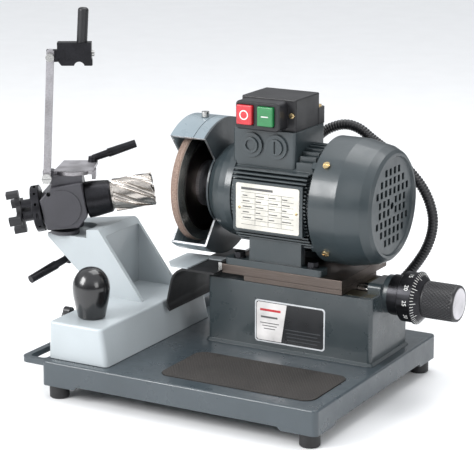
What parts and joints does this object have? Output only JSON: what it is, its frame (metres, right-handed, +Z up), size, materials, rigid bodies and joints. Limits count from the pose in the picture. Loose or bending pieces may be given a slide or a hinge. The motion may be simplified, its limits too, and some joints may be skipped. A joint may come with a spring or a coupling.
{
  "type": "drill bit sharpener",
  "caption": "Bench grinder that sharpens annular and core cutters: wheel motor on a feed slide, index head with setting gauge, on one cast base.",
  "frame": {"origin": "bottom centre of the overall extent, on the plane the rubber feet stand on; the base plate's own middle is 28.6 mm to the right of it", "axes": "+X along the wheel motor's axis towards the feed knob, +Y away from the operator, +Z up"},
  "size_m": [0.56, 0.317, 0.4347],
  "materials": {
    "base_paint": "gloss",
    "riser_paint": "gloss",
    "motor_paint": "satin",
    "light_paint": "satin",
    "guard_dark": "satin",
    "guard_light": "satin",
    "head_paint": "satin",
    "rubber_black": "matte",
    "mat_rubber": "matte, lozenge relief",
    "steel": "satin",
    "steel_dark": "ground, oiled",
    "steel_grey": "satin",
    "steel_black": "black oxide",
    "tool_steel": "ground",
    "bronze": "machined",
    "brass": "satin",
    "plastic_black": "gloss",
    "plastic_matte": "matte",
    "plastic_white": "matte",
    "button_red": "gloss",
    "button_green": "gloss",
    "conduit_grey": "satin",
    "abrasive": "vitrified grain rim on a turned steel body, stands in for a ceramic",
    "laminations": "laminated, with copper winding heads"
  },
  "bodies": {
    "frame": {"base_casting": "base_paint", "rubber_feet": "rubber_black", "tool_mat": "mat_rubber", "riser_casting": "riser_paint", "feed_bracket": "riser_paint", "bearing_flange": "steel_black"},
    "table": {"slide_plate": "steel_dark", "table_plate": "steel_dark", "lead_nut": "bronze", "dust_flap": "rubber_black", "flap_clamp": "steel", "spark_tray": "light_paint", "motor_housing": "motor_paint", "motor_foot_bolts": "steel_black", "front_end_shield": "motor_paint", "rear_end_shield": "motor_paint", "stator": "laminations", "fan_cover": "motor_paint", "fan_cover_screws": "brass", "terminal_box": "motor_paint", "box_plugs": "motor_paint", "switch_box": "plastic_matte", "switch_screws": "brass", "conduit": "conduit_grey", "conduit_gland": "plastic_matte", "guard_backplate": "guard_dark", "guard_band": "guard_light", "guard_screw": "steel"},
    "rotor": {"motor_shaft": "steel", "rotor_core": "laminations", "cooling_fan": "plastic_matte", "grinding_wheel": "abrasive", "wheel_flanges": "steel_grey", "wheel_nut": "steel", "motor_bearings": "steel"},
    "feed": {"lead_screw": "steel", "feed_dial": "steel_black", "feed_knob": "steel_black", "knob_cap": "plastic_white"},
    "stop": {"stop_button": "button_red"},
    "start": {"start_button": "button_green"},
    "pedestal": {"pedestal_casting": "light_paint", "ball_knob": "plastic_black"},
    "lock_knob": {"slide_lock_knob": "plastic_matte"},
    "clamp_lever": {"neck_lever": "steel_black"},
    "swivel": {"swivel_bracket": "head_paint"},
    "head": {"index_head": "head_paint", "head_saddle": "head_paint", "protractor_plate": "steel_grey", "arm_pivot_screw": "steel"},
    "head_lever": {"bracket_lever": "steel_black"},
    "spindle": {"index_spindle": "steel_black", "index_plate": "steel_black", "star_knob": "plastic_matte", "cutter_collar": "steel_black", "annular_cutter": "tool_steel"},
    "arm": {"setting_arm": "steel_grey"},
    "gauge": {"gauge_block": "steel_black", "gauge_pivot_screw": "steel", "gauge_handle": "plastic_matte"}
  },
  "joints": [
    {"name": "table_feed", "type": "slide", "parent": "frame", "child": "table", "axis": [1, 0, 0], "range_m": [-0.003, 0.012]},
    {"name": "handwheel_turn", "type": "hinge", "parent": "frame", "child": "feed", "pos_m": [0.22658, 0.0515, 0.121], "axis": [1, 0, 0], "range_deg": [-545, 2165]},
    {"name": "grinding_spindle", "type": "hinge", "parent": "table", "child": "rotor", "pos_m": [0.06858, 0.0515, 0.225], "axis": [1, 0, 0], "continuous": true},
    {"name": "stop_press", "type": "slide", "parent": "table", "child": "stop", "axis": [0, 1, 0], "range_m": [0, 0.003], "stiffness_N_per_m": 900},
    {"name": "start_press", "type": "slide", "parent": "table", "child": "start", "axis": [0, 1, 0], "range_m": [0, 0.003], "stiffness_N_per_m": 900},
    {"name": "pedestal_slide", "type": "slide", "parent": "frame", "child": "pedestal", "axis": [0, 1, 0], "range_m": [-0.03, 0.015]},
    {"name": "slide_lock_turn", "type": "hinge", "parent": "pedestal", "child": "lock_knob", "pos_m": [-0.15492, -0.092, 0.079], "axis": [1, 0, 0], "range_deg": [-180, 180]},
    {"name": "neck_clamp_turn", "type": "hinge", "parent": "pedestal", "child": "clamp_lever", "pos_m": [-0.20332, -0.008, 0.1329], "axis": [-0.6585, 0, -0.7526], "range_deg": [-35, 35]},
    {"name": "head_swivel", "type": "hinge", "parent": "pedestal", "child": "swivel", "pos_m": [-0.20842, -0.018, 0.1589], "axis": [0, 0, 1], "range_deg": [-30, 30]},
    {"name": "head_tilt", "type": "hinge", "parent": "swivel", "child": "head", "pos_m": [-0.22242, 0.00625, 0.1946], "axis": [0.5, -0.866, 0], "range_deg": [-10, 5]},
    {"name": "head_clamp_turn", "type": "hinge", "parent": "head", "child": "head_lever", "pos_m": [-0.20271, 0.0361, 0.2372], "axis": [0, 0, 1], "range_deg": [-45, 45]},
    {"name": "index_turn", "type": "hinge", "parent": "head", "child": "spindle", "pos_m": [-0.20842, -0.018, 0.1946], "axis": [0.8529, 0.4924, 0.1736], "continuous": true},
    {"name": "setting_arm_swing", "type": "hinge", "parent": "head", "child": "arm", "pos_m": [-0.21294, -0.04717, 0.232], "axis": [-0.5, 0.866, 0], "range_deg": [-60, 42]},
    {"name": "gauge_tilt", "type": "hinge", "parent": "arm", "child": "gauge", "pos_m": [-0.20663, -0.04352, 0.37782], "axis": [-0.5, 0.866, 0], "range_deg": [-20, 20]}
  ],
  "couplings": [
    {"joint": "handwheel_turn", "follows": "table_feed", "rad_per_m": 3141.6}
  ]
}
